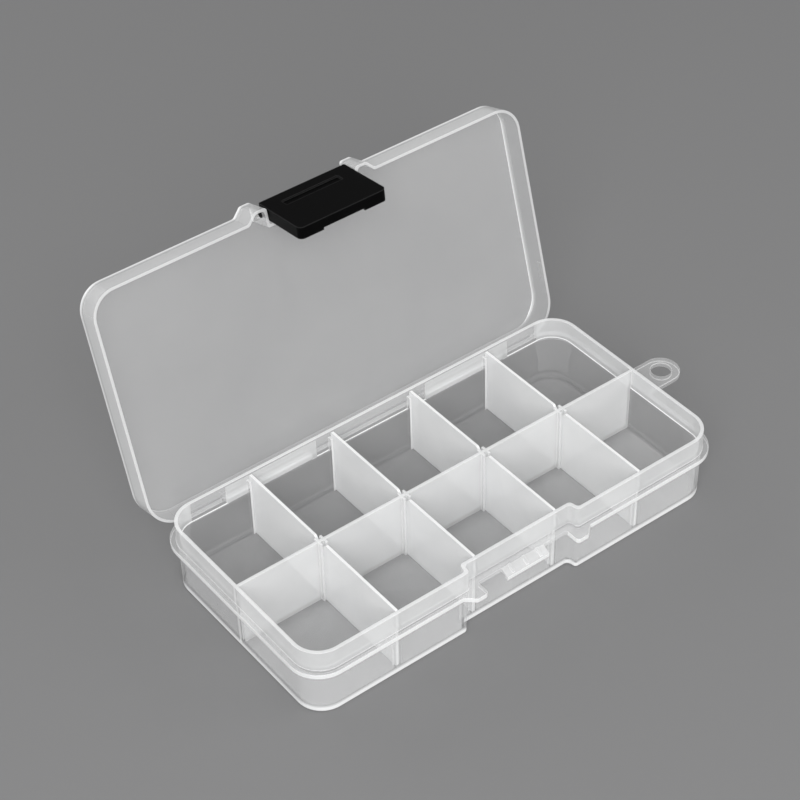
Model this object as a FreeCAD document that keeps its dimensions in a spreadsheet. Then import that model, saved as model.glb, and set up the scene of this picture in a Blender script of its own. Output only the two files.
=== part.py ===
"""Clear hinged-lid bead organizer box: tray, lid, black latch and eight loose dividers.

Millimetres. X runs along the box, the front with the latch faces -Y, Z is up and z = 0 is the tray's underside.
Every piece is drawn with the lid closed; the lid and latch are then placed at the lid's open angle.
"""
import FreeCAD, Part
import math
import os
import re

import Sketcher
from FreeCAD import Placement, Rotation, Vector

# Every independent size of the box, in millimetres or degrees.
SIZES = {
    # Tray
    "collar_length": 125.1,
    "collar_width": 61.5,
    "collar_radius": 7.5,
    "wall": 0.9,
    "floor_thickness": 1.2,
    "rim_height": 20.4,
    "flange_top": 14.7,
    "flange_thickness": 1.2,
    "flange_overhang": 1.4,
    "flange_radius": 8.5,
    "body_step": 0.3,
    "body_draft": 0.6,
    "foot_round": 0.6,
    # Recess in the tray's front, under the latch
    "recess_width": 32.6,
    "recess_depth": 2.6,
    "recess_step": 0.3,
    "recess_splay": 0.46,
    "recess_round": 1.1,
    "recess_shelf": 1.9,
    # Ears on the flange and on the lid, on both sides of the latch
    "ear_width": 3.5,
    "ear_reach": 2.3,
    "ear_splay": 2.3,
    "ear_round": 1.2,
    "ear_setback": 0.6,
    # Catch tongue that the latch hooks under
    "catch_width": 13.0,
    "catch_reach": 2.3,
    "catch_drop": 1.2,
    "catch_lip": 1.1,
    "catch_slope": 1.3,
    "catch_rib_width": 0.8,
    "catch_rib_height": 0.3,
    "catch_rib_pitch": 4.3,
    # Hang tab on the right end
    "tab_reach": 8.6,
    "tab_radius": 4.9,
    "tab_hole": 5.5,
    # Centre wall, slots and dividers
    "centre_wall": 0.8,
    "divider_drop": 0.1,
    "divider_pitch": 25.0,
    "divider_thickness": 0.7,
    "divider_cut": 1.8,
    "divider_end_gap": 0.15,
    "slot_gap": 0.12,
    "slot_rib": 0.6,
    "slot_depth": 1.0,
    "slot_drop": 1.6,
    # Hinge
    "hinge_inset": 0.1,
    "hinge_spacing": 62.2,
    "hinge_span": 25.6,
    "hinge_pin": 1.2,
    "hinge_fit": 0.05,
    "hinge_gap": 0.3,
    "knuckle_wall": 0.85,
    "knuckle_mouth": 0.9,
    "hinge_relief": 0.8,
    "lid_open_angle": 106.0,
    # Lid
    "lid_inset": -0.2,
    "lid_gap": 0.2,
    "lid_depth": 7.8,
    "lid_radius": 7.0,
    "lid_rear_radius": 8.6,
    "lid_wall": 0.7,
    "lid_draft": 1.5,
    "lid_bevel_in": 3.1,
    "lid_bevel_down": 1.0,
    "lid_edge_round": 0.6,
    "lid_rib_spacing": 76.8,
    "lid_rib_width": 0.9,
    "lid_rib_depth": 0.35,
    "lid_rib_height": 4.2,
    "snap_length": 5.0,
    "snap_height": 0.3,
    "snap_offset": 16.0,
    # Latch
    "latch_width": 25.9,
    "latch_length": 17.5,
    "latch_plate": 1.0,
    "latch_depth": 3.2,
    "latch_face": 1.9,
    "latch_head": 2.0,
    "latch_side": 1.2,
    "latch_end": 1.2,
    "latch_round": 1.4,
    "latch_gap": 0.3,
    "latch_lean": 8.8,
    "latch_pin": 1.8,
    "latch_fit": 0.05,
    "latch_pivot_inset": -0.1,
    "latch_pivot_rise": 2.6,
    "latch_notch_width": 12.2,
    "latch_notch_depth": 0.6,
    "latch_groove_width": 16.8,
    "latch_groove_height": 2.5,
    "latch_groove_start": 1.3,
    "latch_groove_depth": 0.5,
    "latch_hook_width": 12.4,
    "latch_hook_start": 5.35,
    "latch_hook_height": 1.0,
    "latch_hook_depth": 0.8,
}

doc = FreeCAD.newDocument("BeadOrganizer")
sheet = doc.addObject("Spreadsheet::Sheet", "Sizes")
for row, (alias, number) in enumerate(SIZES.items(), start=1):
    sheet.set(f"A{row}", alias)
    sheet.set(f"B{row}", str(number))
    sheet.setAlias(f"B{row}", alias)
doc.recompute()


def cells(expression):
    """Write each size named in an expression as a cell of the sheet."""
    return re.sub(r"[a-z][a-z_]*", lambda m: f"Sizes.{m[0]}" if m[0] in SIZES else m[0], expression)


def value(expression):
    """The present number of an expression of sizes."""
    return float(sheet.evalExpression(expression))


def bind(item, prop, expression):
    """Drive a property by an expression of sizes."""
    item.setExpression(prop, cells(expression))


def minus(expression):
    """The expression with the opposite sign."""
    return f"-({expression})"


def mirrored(corners):
    """The corners of the half outline at x > 0, mirrored to x < 0 and listed backwards."""
    return [(minus(x), y, r) for x, y, r in reversed(corners)]


class Outline:
    """A fully constrained sketch of closed loops whose corners and radii follow the sheet."""

    def __init__(self, body, name, plane, offset="0"):
        support = next(f for f in body.Origin.OriginFeatures if f.Role == plane)
        self.sketch = body.newObject("Sketcher::SketchObject", name)
        self.sketch.AttachmentSupport = (support, [""])
        self.sketch.MapMode = "FlatFace"
        bind(self.sketch, "AttachmentOffset.Base.z", offset)

    def hold(self, kind, *args, by=None):
        """Add a constraint, driven by an expression when one is given."""
        index = self.sketch.addConstraint(Sketcher.Constraint(kind, *args))
        if by is not None:
            self.sketch.renameConstraint(index, f"size{index}")
            bind(self.sketch, f"Constraints.size{index}", by)

    def place(self, geometry, point, x, y):
        """Hold a point at x, y from the sketch's origin."""
        self.hold("DistanceX", -1, 1, geometry, point, value(x), by=x)
        self.hold("DistanceY", -1, 1, geometry, point, value(y), by=y)

    def circle(self, x, y, radius):
        """Add a circle."""
        centre = Vector(value(x), value(y), 0)
        geometry = self.sketch.addGeometry(Part.Circle(centre, Vector(0, 0, 1), value(radius)))
        self.place(geometry, 3, x, y)
        self.hold("Radius", geometry, value(radius), by=radius)
        return self

    def loop(self, corners):
        """Add a closed loop through (x, y, radius) corners; a radius of None leaves the corner sharp."""
        points = [Vector(value(x), value(y), 0) for x, y, _ in corners]
        count = len(corners)
        ends = []
        arcs = []
        for i, (_, _, radius) in enumerate(corners):
            before = (points[i] - points[i - 1]).normalize()
            after = (points[(i + 1) % count] - points[i]).normalize()
            turn = math.atan2(before.cross(after).z, before.dot(after))
            if radius is None:
                ends.append((points[i], points[i]))
                arcs.append(None)
                continue
            size = value(radius)
            reach = size * math.tan(abs(turn) / 2)
            start = points[i] - before * reach
            stop = points[i] + after * reach
            side = Vector(-before.y, before.x, 0) * math.copysign(size, turn)
            centre = start + side
            first, last = (start, stop) if turn > 0 else (stop, start)
            angles = [math.atan2(p.y - centre.y, p.x - centre.x) for p in (first, last)]
            circle = Part.Circle(centre, Vector(0, 0, 1), size)
            arc = self.sketch.addGeometry(Part.ArcOfCircle(circle, *angles))
            self.hold("Radius", arc, size, by=radius)
            ends.append((start, stop))
            arcs.append((arc, 1, 2) if turn > 0 else (arc, 2, 1))
        lines = []
        for i in range(count):
            segment = Part.LineSegment(ends[i][1], ends[(i + 1) % count][0])
            lines.append(self.sketch.addGeometry(segment))
        for i, (x, y, _) in enumerate(corners):
            came, goes = lines[i - 1], lines[i]
            if arcs[i] is None:
                self.hold("Coincident", came, 2, goes, 1)
                self.place(goes, 1, x, y)
                continue
            arc, first, last = arcs[i]
            self.hold("Tangent", came, 2, arc, first)
            self.hold("Tangent", arc, last, goes, 1)
            corner = self.sketch.addGeometry(Part.Point(points[i]), True)
            self.place(corner, 1, x, y)
            self.hold("PointOnObject", corner, 1, came)
            self.hold("PointOnObject", corner, 1, goes)
        return self


def new_body(label):
    """A body that carries its node's name."""
    body = doc.addObject("PartDesign::Body", label)
    body.Label = label
    return body


def extrude(body, kind, name, outline, length, back=False, both=False, taper=None):
    """Pad or pocket an outline by a length, forwards, backwards or both ways."""
    feature = body.newObject(f"PartDesign::{kind}", name)
    feature.Profile = outline.sketch
    feature.Reversed = back
    if both:
        feature.SideType = "Symmetric"
    bind(feature, "Length", length)
    if taper is not None:
        bind(feature, "TaperAngle", taper)
    doc.recompute()
    return feature


def repeat_along_x(body, name, features, spacing, count):
    """Repeat features along X at an even spacing."""
    pattern = body.newObject("PartDesign::LinearPattern", name)
    axis = next(f for f in body.Origin.OriginFeatures if f.Role == "X_Axis")
    pattern.Originals = features
    pattern.Direction = (axis, [""])
    pattern.Occurrences = count
    bind(pattern, "Length", f"{count - 1} * ({spacing})")
    body.Tip = pattern
    doc.recompute()
    return pattern


def mirror_x(body, name, feature):
    """Mirror a feature across the plane x = 0."""
    mirror = body.newObject("PartDesign::Mirrored", name)
    plane = next(f for f in body.Origin.OriginFeatures if f.Role == "YZ_Plane")
    mirror.Originals = [feature]
    mirror.MirrorPlane = (plane, [""])
    body.Tip = mirror
    doc.recompute()
    return mirror


def round_face(body, name, feature, radius, lowest):
    """Round the edges of a feature's lowest or highest flat face."""
    base = doc.getObject(feature)
    faces = sorted(base.Shape.Faces, key=lambda face: face.CenterOfMass.z)
    rim = (faces[0] if lowest else faces[-1]).Edges
    names = [f"Edge{i}" for i, edge in enumerate(base.Shape.Edges, 1) if any(edge.isSame(e) for e in rim)]
    fillet = body.newObject("PartDesign::Fillet", name)
    fillet.Base = (base, names)
    bind(fillet, "Radius", radius)
    body.Tip = fillet
    doc.recompute()
    return fillet


# Shared expressions
HALF_LENGTH = "collar_length / 2"
HALF_WIDTH = "collar_width / 2"
FLANGE_HALF_LENGTH = "(collar_length / 2 + flange_overhang)"
FLANGE_HALF_WIDTH = "(collar_width / 2 + flange_overhang)"
FLANGE_UNDER = "(flange_top - flange_thickness)"
RECESS_FACE = "(collar_width / 2 - recess_depth)"
SHELF_FACE = "(collar_width / 2 - recess_depth + recess_shelf)"
EAR_INNER = "(latch_width / 2 + latch_gap)"
HINGE_Y = "(collar_width / 2 + flange_overhang - hinge_inset)"
HINGE_Z = "(flange_top - flange_thickness / 2)"
KNUCKLE_RADIUS = "(hinge_pin / 2 + hinge_fit + knuckle_wall)"
CELL_BACK = "(collar_width / 2 - body_step - wall)"
CELL_FRONT = "(collar_width / 2 - recess_depth - recess_step - wall)"
COLLAR_BACK = "(collar_width / 2 - wall)"
COLLAR_FRONT = "(collar_width / 2 - recess_depth - wall)"
DIVIDER_TOP = "(rim_height - divider_drop)"
LID_HALF_LENGTH = f"({FLANGE_HALF_LENGTH} - lid_inset)"
LID_HALF_WIDTH = f"({FLANGE_HALF_WIDTH} - lid_inset)"
LID_EDGE = "(flange_top + lid_gap)"
LID_TOP = "(flange_top + lid_depth)"
RECESS_LEAN = "((sqrt(recess_depth^2 + recess_splay^2) - recess_splay) / recess_depth)"
EAR_LEAN = "((sqrt(ear_reach^2 + ear_splay^2) - ear_splay) / ear_reach)"
PIVOT_Y = f"({LID_HALF_WIDTH} - latch_pivot_inset)"
PIVOT_Z = "(flange_top + latch_pivot_rise)"


def recessed_box(inset, recess):
    """Corners of the collar's outline drawn in by inset, its recess wall by recess."""
    x = f"({HALF_LENGTH} - {inset})"
    y = f"({HALF_WIDTH} - {inset})"
    wall_y = f"({RECESS_FACE} - {recess})"
    narrow = f"(recess_width / 2 + {recess} * {RECESS_LEAN})"
    wide = f"({narrow} + ({y} - {wall_y}) * recess_splay / recess_depth)"
    radius = f"collar_radius - {inset}"
    right = [
        (narrow, minus(wall_y), "recess_round"),
        (wide, minus(y), "recess_round"),
        (x, minus(y), radius),
        (x, y, radius),
    ]
    return right + mirrored(right)


def eared_box(x, y, ear, front_radius, rear_radius, inset):
    """Corners of the outline with two ears from x = ear and a gap for the latch, drawn in by inset."""
    slope = f"{inset} * {EAR_LEAN}"
    peak = f"({y} + ear_reach - {inset})"
    right = [
        (f"{ear} + {inset}", f"{inset} - {SHELF_FACE}", "0.5"),
        (f"{ear} + {inset}", minus(peak), "ear_round * 0.8"),
        (f"{ear} + ear_width - {slope}", minus(peak), "ear_round"),
        (f"{ear} + ear_width + ear_splay - {slope}", f"{inset} - {y}", "ear_round"),
        (f"{x} - {inset}", f"{inset} - {y}", f"{front_radius} - {inset}"),
        (f"{x} - {inset}", f"{y} - {inset}", f"{rear_radius} - {inset}"),
    ]
    return right + mirrored(right)


def block(x0, x1, y0, y1):
    """Corners of a plain rectangle."""
    return [(x0, y0, None), (x1, y0, None), (x1, y1, None), (x0, y1, None)]


# Tray: outer shell
tray = new_body("tray")
body_outline = Outline(tray, "tray_body_outline", "XY_Plane", FLANGE_UNDER)
body_outline.loop(recessed_box("body_step", "recess_step"))
extrude(tray, "Pad", "tray_body", body_outline, FLANGE_UNDER, back=True, taper=minus("body_draft"))
round_face(tray, "tray_foot", "tray_body", "foot_round", lowest=True)

flange_outline = Outline(tray, "tray_flange_outline", "XY_Plane", FLANGE_UNDER)
flange_ear = f"({EAR_INNER} + ear_setback)"
flange_sides = (FLANGE_HALF_LENGTH, FLANGE_HALF_WIDTH)
flange_outline.loop(eared_box(*flange_sides, flange_ear, "flange_radius", "flange_radius", "0"))
extrude(tray, "Pad", "tray_flange", flange_outline, "flange_thickness")

tab_centre = f"{FLANGE_HALF_LENGTH} + tab_reach"
tab_outline = Outline(tray, "tray_tab_outline", "XY_Plane", FLANGE_UNDER)
tab_tip = f"{tab_centre} + tab_radius"
tab_outline.loop([
    (HALF_LENGTH, "-tab_radius", None),
    (tab_tip, "-tab_radius", "tab_radius * 0.98"),
    (tab_tip, "tab_radius", "tab_radius * 0.98"),
    (HALF_LENGTH, "tab_radius", None),
])
extrude(tray, "Pad", "tray_tab", tab_outline, "flange_thickness")

collar_outline = Outline(tray, "tray_collar_outline", "XY_Plane", FLANGE_UNDER)
collar_outline.loop(recessed_box("0", "0"))
extrude(tray, "Pad", "tray_collar", collar_outline, f"rim_height - {FLANGE_UNDER}")

# Tray: hollow above and below the inner ledge
collar_hollow = Outline(tray, "tray_collar_hollow_outline", "XY_Plane", "rim_height")
collar_hollow.loop(recessed_box("wall", "wall"))
extrude(tray, "Pocket", "tray_collar_hollow", collar_hollow, "rim_height - flange_top")

body_hollow = Outline(tray, "tray_body_hollow_outline", "XY_Plane", "flange_top")
body_hollow.loop(recessed_box("(body_step + wall)", "(recess_step + wall)"))
extrude(tray, "Pocket", "tray_body_hollow", body_hollow, "flange_top - floor_thickness", taper=minus("body_draft"))

hang_hole = Outline(tray, "tray_hang_hole_outline", "XY_Plane", "flange_top")
hang_hole.circle(tab_centre, "0", "tab_hole / 2")
extrude(tray, "Pocket", "tray_hang_hole", hang_hole, "flange_thickness")

# Tray: centre wall and slot ribs
centre_outline = Outline(tray, "tray_centre_outline", "XY_Plane", "floor_thickness / 2")
centre_x = f"({HALF_LENGTH} - body_step - wall / 2)"
centre_outline.loop(block(minus(centre_x), centre_x, "-centre_wall / 2", "centre_wall / 2"))
extrude(tray, "Pad", "tray_centre_wall", centre_outline, f"{DIVIDER_TOP} - floor_thickness / 2")


def rib_pairs(name, x, profile, count, spacing="divider_pitch"):
    """Pairs of slot ribs of one profile, the first pair at x."""
    pads = []
    for side, start in (("left", "-(divider_thickness / 2 + slot_gap + slot_rib)"),
                        ("right", "divider_thickness / 2 + slot_gap")):
        outline = Outline(tray, f"{name}_{side}_outline", "YZ_Plane", f"{x} + {start}")
        outline.loop(profile)
        pads.append(extrude(tray, "Pad", f"{name}_{side}", outline, "slot_rib"))
    return repeat_along_x(tray, f"{name}s", pads, spacing, count)


def wall_rib(sign, low_wall, high_wall):
    """Profile of a rib on an outer wall whose inner face steps out at the ledge."""
    tip = f"{sign} * ({low_wall} - slot_depth)"
    low = f"{sign} * ({low_wall} + wall / 3)"
    high = f"{sign} * ({high_wall} + wall / 4)"
    top = "rim_height - slot_drop"
    return [
        (tip, "floor_thickness / 2", None),
        (low, "floor_thickness / 2", None),
        (low, "flange_top - wall / 2", None),
        (high, "flange_top - wall / 2", None),
        (high, top, None),
        (tip, top, None),
    ]


first_x = "-1.5 * divider_pitch"
second_x = "-0.5 * divider_pitch"
centre_tip = "(centre_wall / 2 + slot_depth)"
rib_pairs("tray_back_rib", first_x, wall_rib("1", CELL_BACK, COLLAR_BACK), 4)
rib_pairs("tray_corner_rib", first_x, wall_rib("-1", CELL_BACK, COLLAR_BACK), 2, "3 * divider_pitch")
rib_pairs("tray_recess_rib", second_x, wall_rib("-1", CELL_FRONT, COLLAR_FRONT), 2)
rib_pairs("tray_centre_rib", first_x, block(minus(centre_tip), centre_tip, "floor_thickness / 2", DIVIDER_TOP), 4)

# Tray: hinge cut-outs with a thickened wall behind, and the rods across them
hinge_start = "((hinge_spacing - hinge_span) / 2)"
brace_outline = Outline(tray, "tray_hinge_brace_outline", "YZ_Plane", f"{hinge_start} - wall")
brace_outline.loop([
    (CELL_BACK, "flange_top - wall / 2", None),
    (f"{HALF_WIDTH} - wall / 2", "flange_top - wall / 2", None),
    (f"{HALF_WIDTH} - wall / 2", "rim_height - wall / 2", None),
    (f"{HALF_WIDTH} - wall", "rim_height - wall / 2", None),
    (CELL_BACK, "flange_top", None),
])
brace = extrude(tray, "Pad", "tray_hinge_brace", brace_outline, "hinge_span + 2 * wall")
mirror_x(tray, "tray_hinge_braces", brace)

swing = f"({KNUCKLE_RADIUS} + hinge_gap)"
cut_outline = Outline(tray, "tray_hinge_cut_outline", "YZ_Plane", hinge_start)
cut_outline.loop([
    (f"{HINGE_Y} - {swing}", f"{HINGE_Z} - {swing}", f"{swing} * 0.9"),
    (f"{HINGE_Y} + {swing}", f"{HINGE_Z} - {swing}", None),
    (f"{HINGE_Y} + {swing}", f"{HINGE_Z} + {swing}", None),
    (f"{HINGE_Y} - {swing}", f"{HINGE_Z} + {swing}", f"{swing} * 0.9"),
])
cut = extrude(tray, "Pocket", "tray_hinge_cut", cut_outline, "hinge_span", back=True)
mirror_x(tray, "tray_hinge_cuts", cut)

rod_outline = Outline(tray, "tray_hinge_rod_outline", "YZ_Plane", f"{hinge_start} - wall")
rod_outline.circle(HINGE_Y, HINGE_Z, "hinge_pin / 2")
rod = extrude(tray, "Pad", "tray_hinge_rod", rod_outline, "hinge_span + 2 * wall")
mirror_x(tray, "tray_hinge_rods", rod)

# Tray: catch tongue
tongue = f"({SHELF_FACE} + catch_reach)"
catch_outline = Outline(tray, "tray_catch_outline", "YZ_Plane")
catch_outline.loop([
    (minus(f"{SHELF_FACE} - recess_shelf / 2"), FLANGE_UNDER, None),
    (minus(f"{SHELF_FACE} - recess_shelf / 2"), "flange_top", None),
    (minus(SHELF_FACE), "flange_top", None),
    (minus(tongue), "flange_top - catch_slope", None),
    (minus(tongue), f"{FLANGE_UNDER} - catch_drop", None),
    (f"catch_lip - {tongue}", f"{FLANGE_UNDER} - catch_drop", None),
    (f"catch_lip - {tongue}", FLANGE_UNDER, None),
])
extrude(tray, "Pad", "tray_catch", catch_outline, "catch_width", both=True)

catch_rib = Outline(tray, "tray_catch_rib_outline", "YZ_Plane", "-catch_rib_pitch - catch_rib_width / 2")
catch_rib.loop([
    (minus(SHELF_FACE), "flange_top - catch_slope", None),
    (minus(SHELF_FACE), "flange_top + catch_rib_height", None),
    (f"catch_rib_height - {tongue}", "flange_top - catch_slope + catch_rib_height", None),
    (f"catch_rib_height - {tongue}", "flange_top - catch_slope", None),
])
first_rib = extrude(tray, "Pad", "tray_catch_rib", catch_rib, "catch_rib_width")
repeat_along_x(tray, "tray_catch_ribs", [first_rib], "catch_rib_pitch", 3)

# Dividers: plates that stand on the floor in the slots, stepped over the tray's inner ledge


def divider(label, x, low_end, high_end, sign, sloped=False):
    """A plate at x from the centre wall to an outer wall; its end steps over the ledge or follows a slope."""
    body = new_body(label)
    inner = "(centre_wall / 2 + divider_end_gap)"
    low = f"({low_end} - divider_end_gap)"
    high = f"({high_end} - divider_end_gap)"
    foot = f"({low} - (flange_top - floor_thickness) * tan(body_draft))"
    step = [
        (low, "flange_top + divider_end_gap", None),
        (high, "flange_top + divider_end_gap", None),
    ]
    corners = [
        (inner, "floor_thickness", None),
        (foot, "floor_thickness", "0.5"),
        *([(low, "flange_top", None)] if sloped else step),
        (high, DIVIDER_TOP, "0.4"),
        (f"{inner} + divider_cut", DIVIDER_TOP, None),
        (inner, f"{DIVIDER_TOP} - divider_cut", None),
    ]
    if sign < 0:
        corners = [(minus(y), z, r) for y, z, r in reversed(corners)]
    plate = Outline(body, f"{label}_outline", "YZ_Plane").loop(corners)
    extrude(body, "Pad", f"{label}_plate", plate, "divider_thickness", both=True)
    bind(body, "Placement.Base.x", x)
    return body


dividers = []
for number in range(1, 5):
    station = f"{number - 2.5} * divider_pitch"
    outer = number in (1, 4)
    dividers.append(divider(f"divider_back_{number}", station, CELL_BACK, COLLAR_BACK, 1, sloped=outer))
    low, high = (CELL_BACK, COLLAR_BACK) if outer else (CELL_FRONT, COLLAR_FRONT)
    dividers.append(divider(f"divider_front_{number}", station, low, high, -1))

# Lid: drafted shell with ears, its rear edge bevelled
lid = new_body("lid")
lid_outline = Outline(lid, "lid_outline", "XY_Plane", LID_EDGE)
lid_sides = (LID_HALF_LENGTH, LID_HALF_WIDTH)
lid_outline.loop(eared_box(*lid_sides, EAR_INNER, "lid_radius", "lid_rear_radius", "0"))
extrude(lid, "Pad", "lid_block", lid_outline, "lid_depth - lid_gap", taper=minus("lid_draft"))

bevel_outline = Outline(lid, "lid_bevel_outline", "YZ_Plane")
bevel_outline.loop([
    (f"{LID_HALF_WIDTH} - lid_bevel_in", LID_TOP, None),
    (f"{LID_HALF_WIDTH} + lid_bevel_in", f"{LID_TOP} - 2 * lid_bevel_down", None),
    (f"{LID_HALF_WIDTH} + lid_bevel_in", LID_TOP, None),
])
extrude(lid, "Pocket", "lid_bevel", bevel_outline, f"3 * {LID_HALF_LENGTH}", both=True)
round_face(lid, "lid_edge", "lid_bevel", "lid_edge_round", lowest=False)

core = new_body("lid_core")
core_outline = Outline(core, "lid_core_outline", "XY_Plane", LID_EDGE)
core_outline.loop(eared_box(*lid_sides, EAR_INNER, "lid_radius", "lid_rear_radius", "lid_wall"))
extrude(core, "Pad", "lid_core_block", core_outline, "lid_depth - lid_gap - lid_wall", taper=minus("lid_draft"))
bevel_run = "sqrt(lid_bevel_in^2 + lid_bevel_down^2)"
core_y = f"({LID_HALF_WIDTH} - lid_bevel_in - lid_wall * lid_bevel_down / {bevel_run})"
core_z = f"({LID_TOP} - lid_wall * lid_bevel_in / {bevel_run})"
core_bevel = Outline(core, "lid_core_bevel_outline", "YZ_Plane")
core_bevel.loop([
    (core_y, core_z, None),
    (f"{core_y} + 2 * lid_bevel_in", f"{core_z} - 2 * lid_bevel_down", None),
    (f"{core_y} + 2 * lid_bevel_in", core_z, None),
])
extrude(core, "Pocket", "lid_core_bevel", core_bevel, f"3 * {LID_HALF_LENGTH}", both=True)
hollow = lid.newObject("PartDesign::Boolean", "lid_hollow")
hollow.Type = "Cut"
hollow.setObjects([core])
lid.Tip = hollow
doc.recompute()

# Lid: rear relief, hinge knuckles, pin holes, small ribs and snap bumps
relief_outline = Outline(lid, "lid_relief_outline", "YZ_Plane")
relief_outline.loop(block(
    f"{LID_HALF_WIDTH} - lid_wall - 0.5", f"{LID_HALF_WIDTH} + 1",
    f"{LID_EDGE} - 1", f"{LID_EDGE} + hinge_relief",
))
relief_length = f"2 * ({LID_HALF_LENGTH} - lid_rear_radius)"
extrude(lid, "Pocket", "lid_relief", relief_outline, relief_length, both=True)

knuckle_start = f"{hinge_start} + hinge_gap"
knuckle_length = "hinge_span - 2 * hinge_gap"
arm_outline = Outline(lid, "lid_arm_outline", "YZ_Plane", knuckle_start)
arm_outline.loop(block(
    f"{LID_HALF_WIDTH} - lid_wall - 0.2", f"{LID_HALF_WIDTH} - 0.1",
    HINGE_Z, f"{LID_EDGE} + hinge_relief + 1.5",
))
arm = extrude(lid, "Pad", "lid_arm", arm_outline, knuckle_length)
mirror_x(lid, "lid_arms", arm)
knuckle_outline = Outline(lid, "lid_knuckle_outline", "YZ_Plane", knuckle_start)
knuckle_outline.circle(HINGE_Y, HINGE_Z, KNUCKLE_RADIUS)
knuckle = extrude(lid, "Pad", "lid_knuckle", knuckle_outline, knuckle_length)
mirror_x(lid, "lid_knuckles", knuckle)
bore_outline = Outline(lid, "lid_bore_outline", "YZ_Plane")
bore_outline.circle(HINGE_Y, HINGE_Z, "hinge_pin / 2 + hinge_fit")
extrude(lid, "Pocket", "lid_bore", bore_outline, f"2 * {LID_HALF_LENGTH}", both=True)
mouth_outline = Outline(lid, "lid_mouth_outline", "YZ_Plane")
mouth_outline.loop(block(
    f"{HINGE_Y} - knuckle_mouth / 2", f"{HINGE_Y} + knuckle_mouth / 2",
    f"{HINGE_Z} - 2 * {KNUCKLE_RADIUS}", HINGE_Z,
))
extrude(lid, "Pocket", "lid_mouth", mouth_outline, f"2 * {LID_HALF_LENGTH}", both=True)

pivot_outline = Outline(lid, "lid_pivot_outline", "YZ_Plane")
pivot_outline.circle(minus(PIVOT_Y), PIVOT_Z, "latch_pin / 2 + latch_fit")
extrude(lid, "Pocket", "lid_pivot", pivot_outline, f"2 * ({EAR_INNER} + 1.5 * lid_wall)", both=True)

front_rib = Outline(lid, "lid_front_rib_outline", "XY_Plane", f"{LID_TOP} - lid_wall / 2")
front_rib.loop(block(
    "(lid_rib_spacing - lid_rib_width) / 2", "(lid_rib_spacing + lid_rib_width) / 2",
    minus(f"{LID_HALF_WIDTH} - lid_wall / 2"), minus(f"{LID_HALF_WIDTH} - lid_wall - lid_rib_depth"),
))
rib = extrude(lid, "Pad", "lid_front_rib", front_rib, "lid_rib_height + lid_wall / 2", back=True)
mirror_x(lid, "lid_front_ribs", rib)

snap_outline = Outline(lid, "lid_snap_outline", "XZ_Plane", "-snap_offset")
snap_x = f"({LID_HALF_LENGTH} - lid_wall)"
snap_outline.loop([
    (f"{snap_x} + lid_wall / 3", f"{LID_EDGE} + 0.4", None),
    (f"{snap_x} + lid_wall / 3", f"{LID_EDGE} + 2.2", None),
    (f"{snap_x} - 0.05", f"{LID_EDGE} + 2.0", None),
    (f"{snap_x} - snap_height", f"{LID_EDGE} + 1.2", None),
    (f"{snap_x} - 0.05", f"{LID_EDGE} + 0.4", None),
])
snap = extrude(lid, "Pad", "lid_snap", snap_outline, "snap_length", both=True)
mirror_x(lid, "lid_snaps", snap)

# Latch: drawn upright with its pivot at the origin, outside towards -Y, free end down
latch = new_body("latch")
latch_outline = Outline(latch, "latch_outline", "XZ_Plane", "latch_face - latch_depth")
latch_foot = "latch_head - latch_length"
latch_outline.loop([
    ("-latch_width / 2", latch_foot, "latch_round"),
    ("latch_width / 2", latch_foot, "latch_round"),
    ("latch_width / 2", "latch_head", "latch_round / 3"),
    ("-latch_width / 2", "latch_head", "latch_round / 3"),
])
extrude(latch, "Pad", "latch_block", latch_outline, "latch_depth")

latch_hollow = Outline(latch, "latch_hollow_outline", "XZ_Plane", "latch_face - latch_plate")
inside = "(latch_width / 2 - latch_side)"
latch_hollow.loop(block(minus(inside), inside, f"{latch_foot} + latch_end", "latch_head + 1"))
extrude(latch, "Pocket", "latch_hollow", latch_hollow, "latch_depth")

skirt = "(latch_depth - latch_face)"
trim_outline = Outline(latch, "latch_trim_outline", "YZ_Plane")
trim_outline.loop([
    ("latch_plate - latch_face + 0.3", "latch_head + 1", None),
    ("latch_plate - latch_face + 0.3", "latch_head", None),
    (f"{skirt} - 0.05", "latch_pin / 3", None),
    (f"{skirt} + 1", "latch_pin / 3", None),
    (f"{skirt} + 1", "latch_head + 1", None),
])
extrude(latch, "Pocket", "latch_trim", trim_outline, "2 * latch_width", both=True)

notch_outline = Outline(latch, "latch_notch_outline", "YZ_Plane")
notch_outline.loop(block(
    f"{skirt} - latch_notch_depth", f"{skirt} + 1",
    f"{latch_foot} - 1", f"{latch_foot} + 2 * latch_end",
))
extrude(latch, "Pocket", "latch_notch", notch_outline, "latch_notch_width", both=True)

groove_outline = Outline(latch, "latch_groove_outline", "XZ_Plane", "latch_face")
groove_x = "latch_groove_width / 2"
groove_low = "-latch_groove_start - latch_groove_height"
groove_outline.loop([
    (minus(groove_x), groove_low, "0.4"),
    (groove_x, groove_low, "0.4"),
    (groove_x, "-latch_groove_start", "0.4"),
    (minus(groove_x), "-latch_groove_start", "0.4"),
])
extrude(latch, "Pocket", "latch_groove", groove_outline, "latch_groove_depth")

hook_outline = Outline(latch, "latch_hook_outline", "YZ_Plane")
hook_face = "latch_plate - latch_face"
hook_outline.loop([
    (f"{hook_face} - latch_plate / 4", "-latch_hook_start - latch_hook_height", None),
    (f"{hook_face} + latch_hook_depth / 2", "-latch_hook_start - latch_hook_height", None),
    (f"{hook_face} + latch_hook_depth", "-latch_hook_start - latch_hook_height / 2", None),
    (f"{hook_face} + latch_hook_depth", "-latch_hook_start", None),
    (f"{hook_face} - latch_plate / 4", "-latch_hook_start", None),
])
extrude(latch, "Pad", "latch_hook", hook_outline, "latch_hook_width", both=True)

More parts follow.
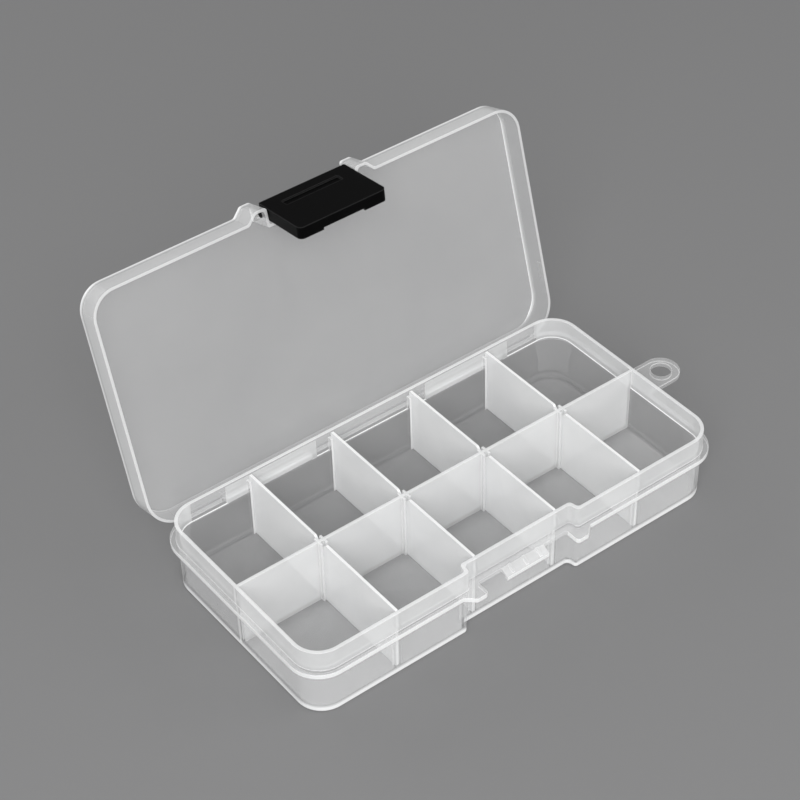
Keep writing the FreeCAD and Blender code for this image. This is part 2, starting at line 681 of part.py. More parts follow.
pin_outline = Outline(latch, "latch_pin_outline", "YZ_Plane", "latch_width / 2 - latch_side / 2")
pin_outline.circle("0", "0", "latch_pin / 2")
pin = extrude(latch, "Pad", "latch_stub", pin_outline, "latch_side / 2 + latch_gap + lid_wall + 0.1")
mirror_x(latch, "latch_stubs", pin)

# Rest pose: the lid is open on its stop and the latch hangs in the lid at its own lean
hinge = Vector(0, value(HINGE_Y), value(HINGE_Z))
opening = Placement(Vector(), Rotation(Vector(-1, 0, 0), value("lid_open_angle")), hinge)
lid.Placement = opening
pivot = Vector(0, -value(PIVOT_Y), value(PIVOT_Z))
lean = Placement(pivot, Rotation(Vector(1, 0, 0), value("latch_lean")))
latch.Placement = opening.multiply(lean)

doc.recompute()
for item in doc.Objects:
    if "Invalid" in item.State or "Error" in item.State:
        raise RuntimeError(f"{item.Label} did not compute: {item.State}")
os.makedirs("parts", exist_ok=True)
for node in [tray, lid, latch] + dividers:
    shape = node.Shape
    if shape.isNull() or not shape.isValid() or len(shape.Solids) != 1:
        raise RuntimeError(f"{node.Label} is not one sound solid")
    shape.exportStep(f"parts/{node.Label}.step")
    box = shape.BoundBox
    print(f"{node.Label}: {shape.Volume:.1f} mm3, x {box.XMin:.2f} {box.XMax:.2f}, "
          f"y {box.YMin:.2f} {box.YMax:.2f}, z {box.ZMin:.2f} {box.ZMax:.2f}")
print("hinge axis", hinge, "latch axis", opening.multVec(pivot))
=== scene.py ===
"""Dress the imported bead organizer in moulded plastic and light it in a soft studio.

The tray and lid are clear polypropylene, the dividers a milkier grade and the latch a black
satin moulding. Everything is in metres in the part's own frame: X along the box, -Y the latch
side, Z up.
"""

import logging
import math
from dataclasses import dataclass
from enum import Enum

import bpy
import numpy as np
from mathutils import Euler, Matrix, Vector

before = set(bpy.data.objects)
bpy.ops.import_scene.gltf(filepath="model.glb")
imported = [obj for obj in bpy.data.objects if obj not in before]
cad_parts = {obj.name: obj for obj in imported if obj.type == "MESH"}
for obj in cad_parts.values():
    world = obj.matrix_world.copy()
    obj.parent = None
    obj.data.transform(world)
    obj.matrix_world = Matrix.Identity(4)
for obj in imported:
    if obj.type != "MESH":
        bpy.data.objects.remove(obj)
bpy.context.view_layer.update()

log = logging.getLogger("bead_organizer")
Colour = tuple[float, float, float, float]
Point = tuple[float, float, float]
Span = tuple[float, float]
Term = float | Point | Colour | bpy.types.NodeSocket

WHITE: Colour = (0.95, 0.955, 0.96, 1.0)
PALE: Colour = (0.98, 0.985, 0.985, 1.0)
# The direction from the box's middle towards the latch side.
AHEAD: Point = (0.0, -1.0, 0.0)
# The middle of a noise that runs from 0 to 1.
NOISE_MIDDLE = 0.5
# A face is square to an axis where its normal's share along that axis is above this.
SQUARE_ON = 0.9


class Skin(Enum):
    """The mould finishes found on the box."""

    POLISHED = "polished"
    FROSTED = "frosted"
    SATIN = "satin"


class NodeBench:
    """A node tree with short calls for adding, setting and joining nodes."""

    column_step: int = 220

    def __init__(self, tree: bpy.types.NodeTree) -> None:
        """Start on a tree, emptied of its nodes.

        Args:
            tree: The tree of a material, a world or a group.
        """
        self.tree = tree
        self.tree.nodes.clear()
        self.column = 0

    def feed(self, term: Term, slot: bpy.types.NodeSocket) -> None:
        """Join an output to an input, or set a plain value on it.

        Args:
            term: The output socket or the value.
            slot: The input socket.
        """
        if isinstance(term, bpy.types.NodeSocket):
            self.tree.links.new(term, slot)
        else:
            slot.default_value = term

    def fill(self, node: bpy.types.Node, **sockets: Term) -> None:
        """Feed a node's inputs.

        Args:
            node: The node.
            **sockets: Input socket names, with _ for spaces, and what goes into them.
        """
        for name, term in sockets.items():
            self.feed(term, node.inputs[name.replace("_", " ")])

    def add(self, kind: str, label: str, **sockets: Term) -> bpy.types.Node:
        """Add a node and feed its inputs.

        Args:
            kind: The node's full type name.
            label: What the node is for.
            **sockets: Input socket names, with _ for spaces, and what goes into them.

        Returns:
            The new node.
        """
        node = self.tree.nodes.new(kind)
        node.label = label
        node.location = (self.column * self.column_step, 0)
        self.column += 1
        self.fill(node, **sockets)
        return node

    def maths(self, operation: str, label: str, *terms: Term,
              clamp: bool = False) -> bpy.types.NodeSocket:
        """Add a Math node.

        Args:
            operation: The node's operation.
            label: What the node is for.
            *terms: Numbers or output sockets, in order.
            clamp: Whether the result is held between 0 and 1.

        Returns:
            The node's output socket.
        """
        node = self.add("ShaderNodeMath", label)
        node.operation = operation
        node.use_clamp = clamp
        for term, slot in zip(terms, node.inputs):
            self.feed(term, slot)
        return node.outputs[0]

    def dot(self, label: str, first: Term, second: Term) -> bpy.types.NodeSocket:
        """Add the dot product of two vectors.

        Args:
            label: What the node is for.
            first: A vector or an output socket.
            second: A vector or an output socket.

        Returns:
            The product's output socket.
        """
        node = self.add("ShaderNodeVectorMath", label)
        node.operation = "DOT_PRODUCT"
        self.feed(first, node.inputs[0])
        self.feed(second, node.inputs[1])
        return node.outputs["Value"]

    def place(self) -> bpy.types.NodeSocket:
        """Add the place on the piece, in the frame's own metres."""
        return self.add("ShaderNodeTexCoord", "place on the piece").outputs["Object"]


@dataclass(frozen=True)
class MouldSkin:
    """The node group that every moulded face shares: slow flow marks, fine grain, soft edges."""

    name: str = "moulded_skin"
    flow_detail: float = 3.0
    flow_roughness: float = 0.55
    flow_distortion: float = 0.6
    grain_detail: float = 2.0
    grain_roughness: float = 0.5
    grain_depth: float = 0.00002
    edge_gain: float = 3.6
    bevel_samples: int = 6
    settings: tuple[str, ...] = ("Flow Scale", "Grain Scale", "Grain Height", "Roughness",
                                 "Roughness Spread", "Edge Width")
    masks: tuple[str, ...] = ("Flow", "Edge", "Roughness")

    def group(self) -> bpy.types.NodeTree:
        """Build the group once.

        Flow is slow noise from 0 to 1. Edge is 1 minus the dot product of the face's normal and
        its rounded normal, so it is bright along every edge and 0 on a flat. Roughness is the
        given roughness shifted by the flow, and Normal is the rounded normal with fine noise,
        the grain, as bump.

        Returns:
            The group, made on the first call.
        """
        found = bpy.data.node_groups.get(self.name)
        if found is not None:
            return found
        tree = bpy.data.node_groups.new(self.name, "ShaderNodeTree")
        for name in self.settings:
            tree.interface.new_socket(name, in_out="INPUT", socket_type="NodeSocketFloat")
        for name in self.masks:
            tree.interface.new_socket(name, in_out="OUTPUT", socket_type="NodeSocketFloat")
        tree.interface.new_socket("Normal", in_out="OUTPUT", socket_type="NodeSocketVector")
        bench = NodeBench(tree)
        given = bench.add("NodeGroupInput", "settings").outputs
        place = bench.place()
        flow = bench.add("ShaderNodeTexNoise", "flow marks", Vector=place,
                         Scale=given["Flow Scale"], Detail=self.flow_detail,
                         Roughness=self.flow_roughness,
                         Distortion=self.flow_distortion).outputs[0]
        grain = bench.add("ShaderNodeTexNoise", "mould grain", Vector=place,
                          Scale=given["Grain Scale"], Detail=self.grain_detail,
                          Roughness=self.grain_roughness).outputs[0]
        shift = bench.maths("SUBTRACT", "flow about nought", flow, NOISE_MIDDLE)
        shift = bench.maths("MULTIPLY", "roughness shift", shift, given["Roughness Spread"])
        rough = bench.maths("ADD", "roughness", shift, given["Roughness"])
        bevel = bench.add("ShaderNodeBevel", "rounded edges", Radius=given["Edge Width"])
        bevel.samples = self.bevel_samples
        rounded = bevel.outputs["Normal"]
        face = bench.add("ShaderNodeNewGeometry", "face").outputs["Normal"]
        turn = bench.maths("SUBTRACT", "turn at the edge", 1.0,
                           bench.dot("flatness", rounded, face))
        edge = bench.maths("MULTIPLY", "edge", turn, self.edge_gain, clamp=True)
        bump = bench.add("ShaderNodeBump", "grain height", Distance=self.grain_depth,
                         Strength=given["Grain Height"], Height=grain, Normal=rounded)
        bench.add("NodeGroupOutput", "skin", Flow=flow, Edge=edge, Roughness=rough,
                  Normal=bump.outputs["Normal"])
        return tree


@dataclass(frozen=True)
class Plastic:
    """A moulded plastic: its colour, its skin and, where it is clear, the veil that it draws.

    A veil is how much a face hides, from 0 to 1; a thicker veil shows more of the lit white
    plastic.
    The front is counted from the tray's middle towards the latch side; the veil added there is
    painted light, the latch side made whiter and the back left darker as painted shade. The band
    runs along an outer edge, band_axis points from that edge into the face, and band_start is
    where the edge lies along that axis; the band's veil is partly the haze of a long path through
    the plastic and partly a painted highlight, and so is the veil added at edges, while
    edge_highlight_colour paints a highlight on them. The soft shares are the parts of the joint
    line and of the band over which they fade out.
    """

    name: str
    skin: Skin = Skin.POLISHED
    colour: Colour = WHITE
    pale: Colour = PALE
    # The edge colour is a painted highlight along every edge.
    edge_highlight_colour: Colour = PALE
    flow_range: Span = (0.3, 0.7)
    roughness: float = 0.2
    roughness_spread: float = 0.08
    flow_scale: float = 45.0
    grain_scale: float = 3000.0
    grain_height: float = 0.1
    edge_width: float = 0.00018
    ior: float = 1.49
    specular: float = 0.5
    veil: float = 1.0
    veil_spread: float = 0.0
    # The veil at edges is partly the haze of a long path and partly a painted highlight.
    edge_haze_and_highlight: float = 0.0
    grazing_veil: float = 0.0
    grazing_blend: float = 0.5
    grazing_power: float = 3.0
    # Painted light: the front's veil whitens faces towards the latch side, from front_from to
    # front_to.
    front_painted_light: float = 0.0
    front_from: float = 0.0
    front_to: float = 0.001
    joint_veil: float = 0.0
    joint_half: float = 0.0005
    joint_soft: float = 1 / 3
    # Painted highlight: the band's veil whitens a strip along an outer edge, partly the haze of a
    # long path.
    band_highlight_veil: float = 0.0
    band_wide: float = 0.001
    band_axis: Point = (0.0, 0.0, 1.0)
    band_start: float = 0.0
    band_soft: float = 0.5
    inner_share: float = 1.0

    @property
    def clear(self) -> bool:
        """Whether light passes through the flats."""
        return self.veil < 1.0

    def material(self) -> bpy.types.Material:
        """Build the plastic's material once.

        Returns:
            The material, made on the first call.
        """
        found = bpy.data.materials.get(self.name)
        if found is not None:
            return found
        material = bpy.data.materials.new(self.name)
        material.use_nodes = True
        bench = NodeBench(material.node_tree)
        skin = bench.add("ShaderNodeGroup", f"{self.skin.value} skin")
        skin.node_tree = MouldSkin().group()
        bench.fill(skin, Flow_Scale=self.flow_scale, Grain_Scale=self.grain_scale,
                   Grain_Height=self.grain_height, Roughness=self.roughness,
                   Roughness_Spread=self.roughness_spread, Edge_Width=self.edge_width)
        flow, edge = skin.outputs["Flow"], skin.outputs["Edge"]
        tone = bench.add("ShaderNodeValToRGB", "colour along the flow", Fac=flow)
        stops = zip(tone.color_ramp.elements, (self.colour, self.pale), self.flow_range)
        for element, colour, position in stops:
            element.color = colour
            element.position = position
        # Edges mix towards the edge colour, a painted highlight; on the black latch it is a grey
        # line.
        trim = bench.add("ShaderNodeMix", "edge colour")
        trim.data_type = "RGBA"
        socket = {item.identifier: item for item in (*trim.inputs, *trim.outputs)}
        bench.feed(edge, socket["Factor_Float"])
        bench.feed(tone.outputs["Color"], socket["A_Color"])
        bench.feed(self.edge_highlight_colour, socket["B_Color"])
        body = bench.add("ShaderNodeBsdfPrincipled", self.name, IOR=self.ior,
                         Specular_IOR_Level=self.specular, Base_Color=socket["Result_Color"],
                         Roughness=skin.outputs["Roughness"], Normal=skin.outputs["Normal"])
        if self.clear:
            bench.fill(body, Alpha=self.draw_veil(bench, flow, edge))
        bench.add("ShaderNodeOutputMaterial", "surface", Surface=body.outputs["BSDF"])
        return material

    def draw_veil(self, bench: NodeBench, flow: bpy.types.NodeSocket,
                  edge: bpy.types.NodeSocket) -> bpy.types.NodeSocket:
        """Work out how much a face hides.

        The veil of the flats follows the flow marks. It grows at edges, partly for the haze of a
        long path and partly as a painted highlight; towards the front of the tray, as painted
        light; where the centre wall joins an end wall; and in a band along an outer edge, again
        partly a painted highlight. A face that is seen from inside the plastic keeps only a share
        of it. The veil at grazing angles is added last.

        Args:
            bench: The material's nodes.
            flow: The flow marks.
            edge: The edge mask.

        Returns:
            The veil, from 0 for clear to 1 for solid.
        """
        facing = bench.add("ShaderNodeLayerWeight", "long path at a grazing angle",
                           Blend=self.grazing_blend).outputs["Facing"]
        grazing = bench.maths("POWER", "grazing", facing, self.grazing_power)
        grazing = bench.maths("MULTIPLY", "grazing veil", grazing, self.grazing_veil)
        marks = bench.maths("SUBTRACT", "flow about nought", flow, NOISE_MIDDLE)
        veil = bench.maths("MULTIPLY_ADD", "veil on the flats", marks, self.veil_spread, self.veil)
        veil = bench.maths("MULTIPLY_ADD", "veil with edges", edge, self.edge_haze_and_highlight, veil)
        # The front's veil is painted light and the band's is partly a painted highlight.
        for part, amount, mask in (("front", self.front_painted_light, self.painted_front_light_mask),
                                   ("centre wall", self.joint_veil, self.joint_mask),
                                   ("band", self.band_highlight_veil, self.highlight_band_mask)):
            if amount > 0.0:
                veil = bench.maths("MULTIPLY_ADD", f"veil with the {part}", mask(bench), amount,
                                   veil)
        if self.inner_share < 1.0:
            behind = bench.add("ShaderNodeNewGeometry", "side seen").outputs["Backfacing"]
            share = bench.maths("MULTIPLY_ADD", "share seen from inside", behind,
                                self.inner_share - 1.0, 1.0)
            veil = bench.maths("MULTIPLY", "veil on the side seen", veil, share)
        return bench.maths("ADD", "whole veil", veil, grazing, clamp=True)

    # This mask places painted light: the latch side whiter, the back darker as painted shade.
    def painted_front_light_mask(self, bench: NodeBench) -> bpy.types.NodeSocket:
        """Rise from 0 at front_from to 1 at front_to, both ahead of the tray's middle.

        Args:
            bench: The material's nodes.

        Returns:
            The mask, from 0 to 1.
        """
        ahead = bench.dot("ahead of the middle", bench.place(), AHEAD)
        ahead = bench.maths("SUBTRACT", "ahead of the start", ahead, self.front_from)
        return bench.maths("DIVIDE", "towards the front", ahead, self.front_to - self.front_from,
                           clamp=True)

    def joint_mask(self, bench: NodeBench) -> bpy.types.NodeSocket:
        """Mark the line where the centre wall joins an end wall, with soft sides.

        Args:
            bench: The material's nodes.

        Returns:
            The mask, from 0 to 1.
        """
        off = bench.dot("ahead of the middle", bench.place(), AHEAD)
        off = bench.maths("ABSOLUTE", "off the centre wall", off)
        within = bench.maths("SUBTRACT", "within the centre wall", self.joint_half, off)
        return bench.maths("DIVIDE", "soft sides", within, self.joint_half * self.joint_soft,
                           clamp=True)

    # The band is a painted highlight along an outer edge, partly the haze of a long path.
    def highlight_band_mask(self, bench: NodeBench) -> bpy.types.NodeSocket:
        """Mark the band along an outer edge, with a soft end.

        Args:
            bench: The material's nodes.

        Returns:
            The mask, from 0 to 1.
        """
        across = bench.dot("across the band", bench.place(), self.band_axis)
        end = self.band_start + self.band_wide
        within = bench.maths("SUBTRACT", "within the band", end, across)
        return bench.maths("DIVIDE", "soft end", within, self.band_wide * self.band_soft,
                           clamp=True)


@dataclass(frozen=True)
class LidPose:
    """How the open lid stands: its angle, its hinge and the height of its crown when shut."""

    open_deg: float = 106.0
    hinge: Point = (0.0, 0.03205, 0.0141)
    crown: float = 0.0225

    @property
    def up(self) -> Point:
        """The direction in the open lid that points up when it is shut."""
        turn = math.radians(self.open_deg)
        return 0.0, math.sin(turn), math.cos(turn)

    @property
    def down(self) -> Point:
        """The direction from the open lid's crown towards its rim."""
        return tuple(-part for part in self.up)

    @property
    def crown_start(self) -> float:
        """Where the open lid's crown lies along the direction down."""
        return self.hinge[2] - self.crown - float(np.dot(self.hinge, self.up))

    def height(self, points: np.ndarray) -> np.ndarray:
        """Give points of the open lid the heights that they have when it is shut."""
        return (points - np.array(self.hinge)) @ np.array(self.up) + self.hinge[2]


LID_POSE = LidPose()

# Walls and flats of the tray
# The front's veil on walls and floor is painted light, the back left darker as painted shade.
CLEAR = Plastic("clear_wall", roughness=0.18, veil=0.1, veil_spread=0.05, edge_haze_and_highlight=0.3,
                grazing_veil=0.4, front_painted_light=0.1, front_from=0.02, front_to=0.0265)
# The skirt's band along the bottom edge is a painted highlight, partly the haze of a long path.
SKIRT = Plastic("outer_wall", roughness=0.18, veil=0.04, veil_spread=0.04, edge_haze_and_highlight=0.5,
                grazing_veil=0.35, front_painted_light=0.11, front_from=0.02, front_to=0.0265,
                joint_veil=0.5, band_highlight_veil=0.9, band_wide=0.0024, inner_share=0.2)
COLLAR = Plastic("collar_wall", veil=0.36, veil_spread=0.08, edge_haze_and_highlight=0.55, grazing_veil=0.4,
                 joint_veil=0.3)
FLOOR = Plastic("clear_floor", roughness=0.14, roughness_spread=0.06, veil=0.08, veil_spread=0.04,
                edge_haze_and_highlight=0.1, grazing_veil=0.3, front_painted_light=0.09, front_from=0.0, front_to=0.004)
FLANGE = Plastic("flange_flat", roughness=0.16, roughness_spread=0.06, edge_width=0.0005,
                 veil=0.12, veil_spread=0.04, edge_haze_and_highlight=0.85, grazing_veil=0.3)
# The lid
# The side's band below the crown's edge is a painted highlight, partly the haze of a long path.
SIDE = Plastic("lid_side", veil=0.2, veil_spread=0.05, edge_haze_and_highlight=0.2, grazing_veil=0.45,
               band_highlight_veil=0.75, band_wide=0.0018, band_axis=LID_POSE.down,
               band_start=LID_POSE.crown_start, inner_share=0.3)
PANEL = Plastic("lid_panel", veil=0.15, veil_spread=0.03, edge_haze_and_highlight=0.1, grazing_veil=0.4)
# The lid's outer face draws a thicker veil than its inner face so that it shows in the shade
# behind the open lid: painted light.
TOP = Plastic("lid_top", veil=0.38, veil_spread=0.05, edge_haze_and_highlight=0.1, grazing_veil=0.3,
              inner_share=0.4)
LID_RIM = Plastic("lid_rim", roughness_spread=0.06, veil=0.5, veil_spread=0.1, edge_haze_and_highlight=0.35,
                  grazing_veil=0.2)
# Thin edges that gather light: near-solid white veils, partly the haze of a long path through the
# plastic and partly painted highlights; the foot's veil stands for a highlight on a bottom edge
# that lies in shade
BRIGHT = Plastic("bright_edge", roughness=0.22, roughness_spread=0.06, veil=0.9,
                 veil_spread=0.15, edge_haze_and_highlight=0.28, grazing_veil=0.2)
RIM = Plastic("tray_rim", roughness=0.22, roughness_spread=0.06, veil=0.62, veil_spread=0.15,
              edge_haze_and_highlight=0.4, grazing_veil=0.2)
LIP = Plastic("flange_lip", roughness=0.22, roughness_spread=0.06, veil=0.92, veil_spread=0.1,
              edge_haze_and_highlight=0.2, inner_share=0.35)
FOOT = Plastic("foot_edge", roughness=0.22, roughness_spread=0.06, veil=0.92, veil_spread=0.1,
               edge_haze_and_highlight=0.1, inner_share=0.12)
# Centre wall, loose dividers and latch
FROSTED = Plastic("frosted_wall", Skin.FROSTED, roughness=0.4, veil=0.42, veil_spread=0.08,
                  edge_haze_and_highlight=0.5, grazing_veil=0.4)
MILKY = Plastic("milky_divider", Skin.FROSTED, roughness=0.4, veil=0.53, veil_spread=0.08,
                edge_haze_and_highlight=0.47, grazing_veil=0.4)
# The latch's grey edge colour is a painted highlight along its edges.
BLACK = Plastic("black_latch", Skin.SATIN, colour=(0.001, 0.001, 0.001, 1.0),
                pale=(0.0016, 0.0016, 0.0017, 1.0), edge_highlight_colour=(0.035, 0.035, 0.0355, 1.0),
                roughness=0.36, grain_scale=5200.0, grain_height=0.4, edge_width=0.0005,
                specular=0.07)


def between(values: np.ndarray, span: Span) -> np.ndarray:
    """Mark the values inside a span, its ends left out."""
    return (values > span[0]) & (values < span[1])


@dataclass
class Faces:
    """The middles, normals and lowest corners' heights of a piece's three-sided faces."""

    middle: np.ndarray
    normal: np.ndarray
    low: np.ndarray

    @classmethod
    def of(cls, mesh: bpy.types.Mesh) -> "Faces":
        """Read a mesh's faces.

        Args:
            mesh: The mesh, which is not changed.

        Returns:
            Its faces, as arrays.
        """
        rows = []
        for name in ("center", "normal"):
            row = np.empty(len(mesh.polygons) * 3)
            mesh.polygons.foreach_get(name, row)
            rows.append(row.reshape(-1, 3))
        corners = np.empty(len(mesh.loops), np.int32)
        mesh.loops.foreach_get("vertex_index", corners)
        points = np.empty(len(mesh.vertices) * 3)
        mesh.vertices.foreach_get("co", points)
        low = points.reshape(-1, 3)[corners.reshape(-1, 3), 2].min(axis=1)
        return cls(*rows, low)


Rules = list[tuple[np.ndarray, Plastic]]


@dataclass
class Moulding:
    """A CAD node that keeps its shape and takes one finish, or several by where its faces are."""

    node: str
    plastics: tuple[Plastic, ...]

    def rules(self, faces: Faces) -> Rules:
        """Pair marked faces with their finishes, later over earlier; here there are none."""
        return []

    def sort(self, faces: Faces) -> np.ndarray:
        """Give each face a finish: the first in the list, unless a rule says otherwise.

        Args:
            faces: The piece's faces.

        Returns:
            The place of each face's finish in the list.
        """
        places = np.zeros(len(faces.low), np.int32)
        for marked, plastic in self.rules(faces):
            places[marked] = self.plastics.index(plastic)
        return places

    def dress(self) -> bpy.types.Object:
        """Put the finishes on the node.

        Returns:
            The dressed object.
        """
        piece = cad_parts[self.node]
        mesh = piece.data
        mesh.materials.clear()
        for plastic in self.plastics:
            mesh.materials.append(plastic.material())
        places = self.sort(Faces.of(mesh))
        mesh.polygons.foreach_set("material_index", places)
        counts = np.bincount(places, minlength=len(self.plastics))
        named = {plastic.name: int(count) for plastic, count in zip(self.plastics, counts)}
        log.info("%s dressed: %s", self.node, named)
        return piece


@dataclass
class Tray(Moulding):
    """The tray with its flange, hang tab, centre wall and catch; its thin edges gather light.

    The sizes bound where the faces of each finish lie. The values named rise and square bound
    their normals' shares along Z and Y.
    """

    node: str = "tray"
    plastics: tuple[Plastic, ...] = (CLEAR, SKIRT, COLLAR, FLOOR, FLANGE, FROSTED, BRIGHT, RIM,
                                     LIP, FOOT)
    collar_half: tuple[float, float] = (0.06255, 0.03075)
    collar_round: float = 0.0075
    recess_half: float = 0.0185
    recess_front: float = -0.0265
    tab_start: float = 0.065
    skirt_low: float = 0.001
    back_inner: float = 0.0295
    back_square: float = 0.9992
    flange_low: float = 0.0134
    flange_high: float = 0.0148
    flange_stand: float = 0.0005
    lip_rise: float = 0.3
    floor_high: float = 0.0013
    foot_high: float = 0.0007
    foot_rise: Span = (-0.97, -0.03)
    rim_low: float = 0.0186
    wall_reach: tuple[float, float] = (0.0612, 0.0016)
    slot_pitch: float = 0.025
    slot_half: float = 0.0012
    slot_reach: Span = (0.0258, 0.0292)
    catch_half: float = 0.0067
    catch_front: float = -0.0301
    catch_band: Span = (0.0122, 0.015)
    catch_rise: Span = (0.8, 0.95)

    def stand(self, x: np.ndarray, y: np.ndarray) -> np.ndarray:
        """Measure how far points stand out from the collar, by the distance to a rounded box.

        Args:
            x: Distances from the middle along the box.
            y: Distances from the middle across the box.

        Returns:
            The distances outside the collar's outline, below 0 inside it.
        """
        over = np.stack([x, y]) - (np.array(self.collar_half) - self.collar_round)[:, None]
        outside = np.hypot(*np.maximum(over, 0.0))
        inside = np.minimum(over.max(axis=0), 0.0)
        return outside + inside - self.collar_round

    def off_slot(self, x: np.ndarray) -> np.ndarray:
        """Measure along the box to the nearest slot; slots stand at odd halves of the pitch."""
        turn = (x / self.slot_pitch + 0.5) % 1.0
        return np.minimum(turn, 1.0 - turn) * self.slot_pitch

    def rules(self, faces: Faces) -> Rules:
        """Pick out walls, collar, floor and flange flats, frosted centre wall, catch and edges.

        Args:
            faces: The tray's faces.

        Returns:
            Marked faces with their finishes, later over earlier.
        """
        x, y = np.abs(faces.middle[:, :2]).T
        depth, z = faces.middle[:, 1], faces.middle[:, 2]
        facing, rise = faces.normal[:, 1], faces.normal[:, 2]
        level = np.abs(rise) > SQUARE_ON
        stand = self.stand(x, y)
        at_flange = between(z, (self.flange_low, self.flange_high))
        on_flange = at_flange & (stand > -self.flange_stand)
        above_floor = z > self.floor_high
        near_slot = (self.off_slot(x) < self.slot_half) & above_floor & (y < self.collar_half[1])
        slot_tip = near_slot & between(y, self.slot_reach) & (np.abs(facing) > SQUARE_ON)
        catch = (x < self.catch_half) & (depth < self.catch_front) & between(z, self.catch_band)
        catch_slope = catch & between(rise, self.catch_rise)
        catch_edge = catch & (facing < -SQUARE_ON)
        centre = (x < self.wall_reach[0]) & (y < self.wall_reach[1]) & above_floor
        # Back walls keep the clear wall's thin veil, not the collar's: painted shade, the back
        # darker than the front.
        back = (depth > self.back_inner) & (np.abs(facing) > self.back_square)
        foot = (z < self.foot_high) & between(rise, self.foot_rise)
        rim = (z > self.rim_low) & (rise > SQUARE_ON)
        tab = x > self.tab_start
        lip = on_flange & (np.abs(rise) < self.lip_rise) & (stand > self.flange_stand) & ~tab
        recess = (x < self.recess_half) & (depth < self.recess_front)
        ledge = at_flange & (rise > SQUARE_ON) & (stand < -self.flange_stand) & ~recess
        skirt = (faces.low < self.skirt_low) & (z > self.foot_high) & ~level
        return [
            (skirt, SKIRT),
            ((z > self.flange_high) & ~level & ~back, COLLAR),
            (level & (z < self.floor_high), FLOOR),
            (on_flange & (level | tab), FLANGE),
            (centre & ~level, FROSTED),
            (catch_slope, COLLAR),
            (rim | slot_tip, RIM),
            (ledge | catch_edge, BRIGHT),
            (lip, LIP),
            (foot, FOOT),
        ]


@dataclass
class Lid(Moulding):
    """The hinged lid; its panel, sides and rim take their own finishes."""

    node: str = "lid"
    plastics: tuple[Plastic, ...] = (SIDE, PANEL, TOP, FOOT, LID_RIM)
    rim_high: float = 0.0152
    panel_low: float = 0.0205
    edge_low: float = 0.0213
    edge_rise: Span = (0.1, SQUARE_ON)

    def rules(self, faces: Faces) -> Rules:
        """Pick out the panel, top, crown's edge and rim by their heights in the shut lid.

        Args:
            faces: The lid's faces in the open pose.

        Returns:
            Marked faces with their finishes, later over earlier.
        """
        height = LID_POSE.height(faces.middle)
        rise = faces.normal @ np.array(LID_POSE.up)
        return [
            ((rise < -SQUARE_ON) & (height > self.panel_low), PANEL),
            ((rise > SQUARE_ON) & (height > self.panel_low), TOP),
            (between(rise, self.edge_rise) & (height > self.edge_low), FOOT),
            ((rise < -SQUARE_ON) & (height < self.rim_high), LID_RIM),
        ]


@dataclass
class Latch(Moulding):
    """The black snap latch."""

    node: str = "latch"
    plastics: tuple[Plastic, ...] = (BLACK,)


@dataclass
class Divider(Moulding):
    """A loose divider plate whose narrow faces gather light."""

    plastics: tuple[Plastic, ...] = (MILKY, BRIGHT)

    def rules(self, faces: Faces) -> Rules:
        """Leave the two broad faces milky and make the narrow ones bright."""
        return [(np.abs(faces.normal[:, 0]) < SQUARE_ON, BRIGHT)]


@dataclass
class DividerSet:
    """The loose dividers, a row behind the centre wall and a row in front of it."""

    rows: tuple[str, ...] = ("back", "front")
    count: int = 4

    def dress(self) -> list[bpy.types.Object]:
        """Put the finishes on every divider.

        Returns:
            The dressed dividers.
        """
        return [Divider(f"divider_{row}_{number}").dress()
                for row in self.rows for number in range(1, self.count + 1)]


@dataclass(frozen=True)
class Softbox:
    """A square area lamp aimed at a point."""

    name: str
    place: Point
    target: Point
    side: float
    power: float

    def build(self) -> bpy.types.Object:
        """Make the lamp.

        Returns:
            The lamp object.
        """
        light = bpy.data.lights.new(self.name, "AREA")
        light.size = self.side
        light.energy = self.power
        lamp = bpy.data.objects.new(self.name, light)
        lamp.location = self.place
        aim = Vector(self.target) - Vector(self.place)
        lamp.rotation_euler = aim.to_track_quat("-Z", "Y").to_euler()
        bpy.context.scene.collection.objects.link(lamp)
        return lamp


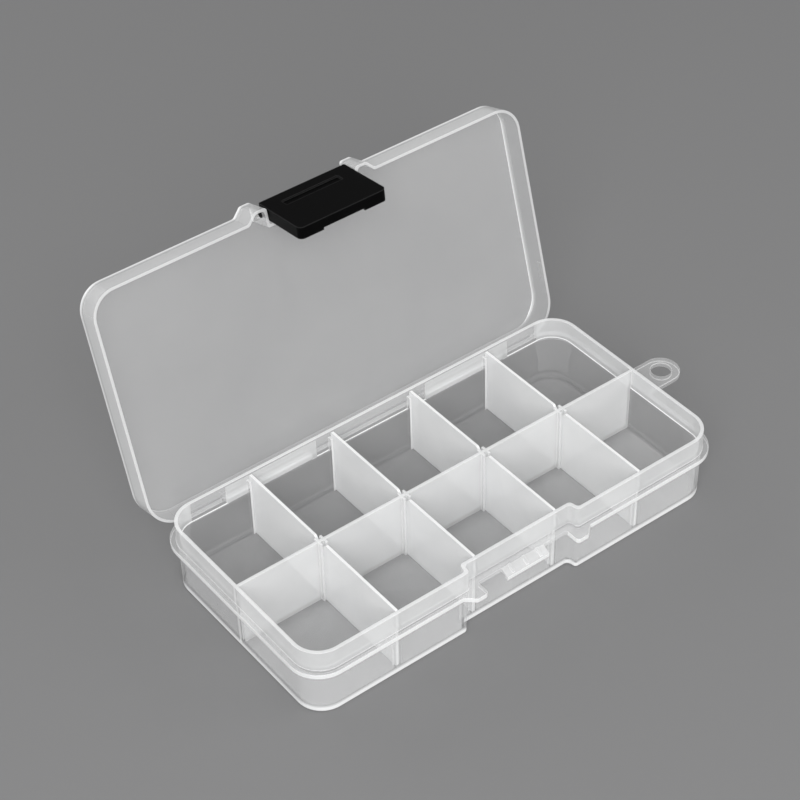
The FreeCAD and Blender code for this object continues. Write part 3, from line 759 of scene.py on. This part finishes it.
@dataclass
class Studio:
    """The floor, lamps, world and camera."""

    floor_side: float = 6.0
    floor_drop: float = 0.00002
    floor_colour: Colour = (0.225, 0.225, 0.227, 1.0)
    floor_roughness: float = 0.9
    floor_specular: float = 0.1
    world_colour: Colour = (1.0, 1.0, 1.0, 1.0)
    world_strength: float = 0.45
    camera_place: Point = (-0.2459793, -0.3149674, 0.3909067)
    camera_turn_deg: Point = (49.04368, 1.28368, -37.62443)
    camera_reach: Span = (0.01, 50.0)
    lens_mm: float = 99.70013
    sensor_mm: float = 36.0
    bounces: int = 24
    clear_layers: int = 64
    lamps: tuple[Softbox, ...] = (
        Softbox("key_softbox", (-0.6, -0.75, 0.72), (0.0, 0.0, 0.02), side=0.8, power=11.8),
        Softbox("fill_softbox", (0.75, -0.6, 0.5), (0.2, -0.1, 0.0), side=0.6, power=2.5),
        Softbox("back_softbox", (-0.25, 1.0, 0.5), (0.0, 0.04, 0.03), side=0.8, power=2.8),
    )

    def floor_material(self) -> bpy.types.Material:
        """Make the floor's matt card.

        Returns:
            The material.
        """
        material = bpy.data.materials.new("pale_floor")
        material.use_nodes = True
        bench = NodeBench(material.node_tree)
        body = bench.add("ShaderNodeBsdfPrincipled", "matt card", Base_Color=self.floor_colour,
                         Roughness=self.floor_roughness, Specular_IOR_Level=self.floor_specular)
        bench.add("ShaderNodeOutputMaterial", "surface", Surface=body.outputs["BSDF"])
        return material

    def build_floor(self) -> bpy.types.Object:
        """Lay the floor as a square grid of points just under z = 0.

        Returns:
            The floor object.
        """
        ends = np.array([-0.5, 0.5]) * self.floor_side
        x, y = np.meshgrid(ends, ends, indexing="ij")
        points = np.stack([x, y, np.full_like(x, -self.floor_drop)], axis=-1).reshape(-1, 3)
        mesh = bpy.data.meshes.new("floor")
        mesh.from_pydata(points.tolist(), [], [(0, 2, 3, 1)])
        mesh.materials.append(self.floor_material())
        floor = bpy.data.objects.new("floor", mesh)
        bpy.context.scene.collection.objects.link(floor)
        return floor

    def build_world(self) -> None:
        """Light the scene evenly and show the floor's colour behind it."""
        world = bpy.data.worlds.new("studio")
        world.use_nodes = True
        bpy.context.scene.world = world
        bench = NodeBench(world.node_tree)
        path = bench.add("ShaderNodeLightPath", "what sees the world").outputs
        light = bench.add("ShaderNodeBackground", "light", Color=self.world_colour,
                          Strength=self.world_strength)
        wall = bench.add("ShaderNodeBackground", "backdrop", Color=self.floor_colour)
        seen = bench.maths("MAXIMUM", "seen in gloss", path["Is Camera Ray"],
                           path["Is Glossy Ray"])
        seen = bench.maths("MAXIMUM", "seen through plastic", seen, path["Is Transmission Ray"])
        mix = bench.add("ShaderNodeMixShader", "backdrop where it is seen", Fac=seen)
        bench.feed(light.outputs[0], mix.inputs[1])
        bench.feed(wall.outputs[0], mix.inputs[2])
        bench.add("ShaderNodeOutputWorld", "world", Surface=mix.outputs[0])

    def build_camera(self) -> bpy.types.Object:
        """Stand the camera where the photograph was taken from.

        Returns:
            The camera object.
        """
        data = bpy.data.cameras.new("photo_camera")
        data.lens = self.lens_mm
        data.sensor_width = self.sensor_mm
        data.clip_start, data.clip_end = self.camera_reach
        camera = bpy.data.objects.new("photo_camera", data)
        camera.location = self.camera_place
        camera.rotation_euler = Euler([math.radians(turn) for turn in self.camera_turn_deg], "XYZ")
        bpy.context.scene.collection.objects.link(camera)
        bpy.context.scene.camera = camera
        return camera

    def build(self) -> None:
        """Make the whole studio."""
        scene = bpy.context.scene
        scene.view_settings.view_transform = "Standard"
        scene.cycles.max_bounces = self.bounces
        scene.cycles.transmission_bounces = self.bounces
        scene.cycles.transparent_max_bounces = self.clear_layers
        self.build_floor()
        self.build_world()
        for lamp in self.lamps:
            lamp.build()
        self.build_camera()
        log.info("studio built")


def main() -> None:
    """Dress the box and build the studio."""
    logging.basicConfig(level=logging.INFO)
    Tray().dress()
    Lid().dress()
    Latch().dress()
    DividerSet().dress()
    Studio().build()


if __name__ == "__main__":
    main()
